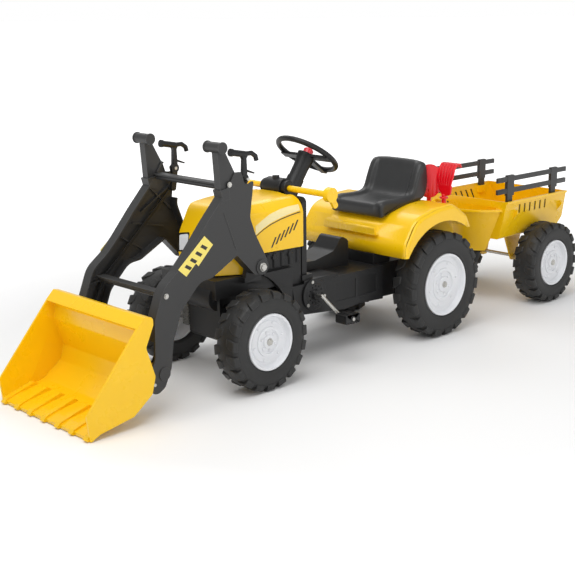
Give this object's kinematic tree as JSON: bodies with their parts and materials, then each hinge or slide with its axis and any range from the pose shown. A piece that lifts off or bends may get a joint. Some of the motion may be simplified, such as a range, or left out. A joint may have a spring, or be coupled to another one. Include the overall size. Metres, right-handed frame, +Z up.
{
  "type": "pedal loader tractor",
  "caption": "Child's pedal tractor with a lever-worked front loader bucket, steered front wheels, chain drive, seat, sand tools and a railed trailer.",
  "frame": {"origin": "on the ground, at the middle of the overall length and on the centre plane", "axes": "+X forward to the bucket, +Y to the rider's left, +Z up"},
  "size_m": [1.7951, 0.4116, 0.5845],
  "materials": {
    "yellow_shell": "glossy moulded",
    "black_shell": "fine-grained satin",
    "charcoal_arm": "satin moulded",
    "seat_black": "satin, lightly grained",
    "rim_white": "semi-gloss",
    "tyre_black": "matt",
    "zinc": "bright zinc",
    "red_tool": "glossy moulded",
    "horn_red": "glossy",
    "lens_white": "clear glossy",
    "chain_steel": "oiled",
    "bush_nylon": "natural nylon"
  },
  "bodies": {
    "chassis": {"lower_chassis": "black_shell", "front_beam": "zinc", "firewall": "black_shell", "hood": "yellow_shell", "headlight_frames": "black_shell", "headlight_lenses": "lens_white", "engine_panels": "black_shell", "rear_body": "yellow_shell", "seat": "seat_black", "cowl_drum": "black_shell", "crank_covers": "black_shell", "crank_cover_bolts": "zinc", "rear_axle_bushes": "bush_nylon", "drive_chain": "chain_steel", "hitch_bracket": "black_shell", "boom_pivot_bolts": "zinc"},
    "steering": {"steering_shaft": "zinc", "steering_wheel": "black_shell"},
    "horn": {"horn_button": "horn_red"},
    "track_rod": {"tie_rod": "zinc"},
    "rear_wheels": {"rear_axle": "zinc", "rear_sprocket": "chain_steel", "rear_rims": "rim_white", "rear_tyres": "tyre_black", "axle_nuts": "zinc"},
    "crank": {"crank_rod": "zinc", "front_sprocket": "chain_steel"},
    "loader_arms": {"boom_left": "charcoal_arm", "boom_right": "charcoal_arm", "crossbars": "charcoal_arm", "lift_grips": "charcoal_arm", "boom_fasteners": "zinc"},
    "scoop": {"bucket": "yellow_shell", "bucket_pins": "zinc"},
    "control": {"control_bar": "yellow_shell"},
    "coupling_pin": {"hitch_pin": "zinc"},
    "trailer": {"trailer_tub": "yellow_shell", "drawbar": "black_shell", "trailer_axle": "zinc", "trailer_axle_nuts": "zinc"},
    "shovel": {"shovel": "red_tool"},
    "rake": {"rake": "red_tool"},
    "hub_left": {"knuckle_left": "zinc"},
    "front_wheel_left": {"front_rim_left": "rim_white", "front_tyre_left": "tyre_black"},
    "pedal_left": {"pedal_left": "black_shell"},
    "tilt_left": {"tilt_handle_left": "black_shell"},
    "link_left": {"pull_rod_left": "zinc"},
    "trailer_wheel_left": {"trailer_rim_left": "rim_white", "trailer_tyre_left": "tyre_black"},
    "fence_left": {"fence_left": "black_shell"},
    "hub_right": {"knuckle_right": "zinc"},
    "front_wheel_right": {"front_rim_right": "rim_white", "front_tyre_right": "tyre_black"},
    "pedal_right": {"pedal_right": "black_shell"},
    "tilt_right": {"tilt_handle_right": "black_shell"},
    "link_right": {"pull_rod_right": "zinc"},
    "trailer_wheel_right": {"trailer_rim_right": "rim_white", "trailer_tyre_right": "tyre_black"},
    "fence_right": {"fence_right": "black_shell"}
  },
  "joints": [
    {"name": "steering_turn", "type": "hinge", "parent": "chassis", "child": "steering", "pos_m": [0.0849, 0, 0.505], "axis": [-0.5793, 0, 0.8151], "range_deg": [-17.5, 17.5]},
    {"name": "horn_press", "type": "slide", "parent": "steering", "child": "horn", "axis": [0.5793, 0, -0.8151], "range_m": [0, 0.003], "stiffness_N_per_m": 900},
    {"name": "rear_axle_spin", "type": "hinge", "parent": "chassis", "child": "rear_wheels", "pos_m": [-0.2341, 0, 0.142], "axis": [0, 1, 0], "continuous": true},
    {"name": "crank_spin", "type": "hinge", "parent": "chassis", "child": "crank", "pos_m": [0.1749, 0, 0.175], "axis": [0, 1, 0], "continuous": true},
    {"name": "track_rod_slide", "type": "slide", "parent": "chassis", "child": "track_rod", "axis": [0, 1, 0], "range_m": [-0.0103, 0.0103]},
    {"name": "kingpin_left", "type": "hinge", "parent": "chassis", "child": "hub_left", "pos_m": [0.4049, 0.096, 0.1185], "axis": [0, 0, 1], "range_deg": [-11.8, 11.8]},
    {"name": "front_wheel_left_spin", "type": "hinge", "parent": "hub_left", "child": "front_wheel_left", "pos_m": [0.4049, 0.17, 0.1185], "axis": [0, 1, 0], "continuous": true},
    {"name": "pedal_left_spin", "type": "hinge", "parent": "crank", "child": "pedal_left", "pos_m": [0.1229, 0.177, 0.117], "axis": [0, 1, 0], "continuous": true},
    {"name": "kingpin_right", "type": "hinge", "parent": "chassis", "child": "hub_right", "pos_m": [0.4049, -0.096, 0.1185], "axis": [0, 0, 1], "range_deg": [-11.8, 11.8]},
    {"name": "front_wheel_right_spin", "type": "hinge", "parent": "hub_right", "child": "front_wheel_right", "pos_m": [0.4049, -0.17, 0.1185], "axis": [0, 1, 0], "continuous": true},
    {"name": "pedal_right_spin", "type": "hinge", "parent": "crank", "child": "pedal_right", "pos_m": [0.2269, -0.177, 0.233], "axis": [0, 1, 0], "continuous": true},
    {"name": "loader_lift", "type": "hinge", "parent": "chassis", "child": "loader_arms", "pos_m": [0.3789, 0, 0.284], "axis": [0, -1, 0], "range_deg": [0, 45]},
    {"name": "bucket_tilt", "type": "hinge", "parent": "loader_arms", "child": "scoop", "pos_m": [0.6979, 0, 0.072], "axis": [0, -1, 0], "range_deg": [-20, 4]},
    {"name": "tilt_handle_left_pull", "type": "hinge", "parent": "loader_arms", "child": "tilt_left", "pos_m": [0.4119, 0.127, 0.492], "axis": [0, -1, 0], "range_deg": [-6.3, 31]},
    {"name": "pull_rod_left_swing", "type": "hinge", "parent": "tilt_left", "child": "link_left", "pos_m": [0.4179, 0.127, 0.444], "axis": [0, -1, 0], "range_deg": [-33, 6.8]},
    {"name": "tilt_handle_right_pull", "type": "hinge", "parent": "loader_arms", "child": "tilt_right", "pos_m": [0.4119, -0.127, 0.492], "axis": [0, -1, 0], "range_deg": [-6.3, 31]},
    {"name": "pull_rod_right_swing", "type": "hinge", "parent": "tilt_right", "child": "link_right", "pos_m": [0.4179, -0.127, 0.444], "axis": [0, -1, 0], "range_deg": [-33, 6.8]},
    {"name": "control_bar_turn", "type": "hinge", "parent": "chassis", "child": "control", "pos_m": [0.1899, 0, 0.434], "axis": [0, 1, 0], "range_deg": [-25, 35]},
    {"name": "hitch_pin_lift", "type": "slide", "parent": "chassis", "child": "coupling_pin", "axis": [0, 0, 1], "range_m": [0, 0.045]},
    {"name": "trailer_yaw", "type": "hinge", "parent": "chassis", "child": "trailer", "pos_m": [-0.4201, 0, 0.176], "axis": [0, 0, 1], "range_deg": [-40, 40]},
    {"name": "trailer_wheel_left_spin", "type": "hinge", "parent": "trailer", "child": "trailer_wheel_left", "pos_m": [-0.7481, 0.17, 0.1185], "axis": [0, 1, 0], "continuous": true},
    {"name": "fence_left_lift", "type": "slide", "parent": "trailer", "child": "fence_left", "axis": [0, 0, 1], "range_m": [0, 0.08]},
    {"name": "trailer_wheel_right_spin", "type": "hinge", "parent": "trailer", "child": "trailer_wheel_right", "pos_m": [-0.7481, -0.17, 0.1185], "axis": [0, 1, 0], "continuous": true},
    {"name": "fence_right_lift", "type": "slide", "parent": "trailer", "child": "fence_right", "axis": [0, 0, 1], "range_m": [0, 0.08]},
    {"name": "shovel_lift", "type": "slide", "parent": "chassis", "child": "shovel", "axis": [0, 0, 1], "range_m": [0, 0.2]},
    {"name": "rake_lift", "type": "slide", "parent": "chassis", "child": "rake", "axis": [0, 0, 1], "range_m": [0, 0.2]}
  ],
  "couplings": [
    {"joint": "crank_spin", "follows": "rear_axle_spin", "ratio": 0.65},
    {"joint": "track_rod_slide", "follows": "steering_turn", "m_per_rad": -0.03333},
    {"joint": "kingpin_left", "follows": "steering_turn", "ratio": 0.66667},
    {"joint": "tilt_handle_left_pull", "follows": "bucket_tilt", "ratio": -1.5417},
    {"joint": "pull_rod_left_swing", "follows": "bucket_tilt", "ratio": 1.6408},
    {"joint": "kingpin_right", "follows": "steering_turn", "ratio": 0.66667},
    {"joint": "tilt_handle_right_pull", "follows": "bucket_tilt", "ratio": -1.5417},
    {"joint": "pull_rod_right_swing", "follows": "bucket_tilt", "ratio": 1.6408}
  ]
}
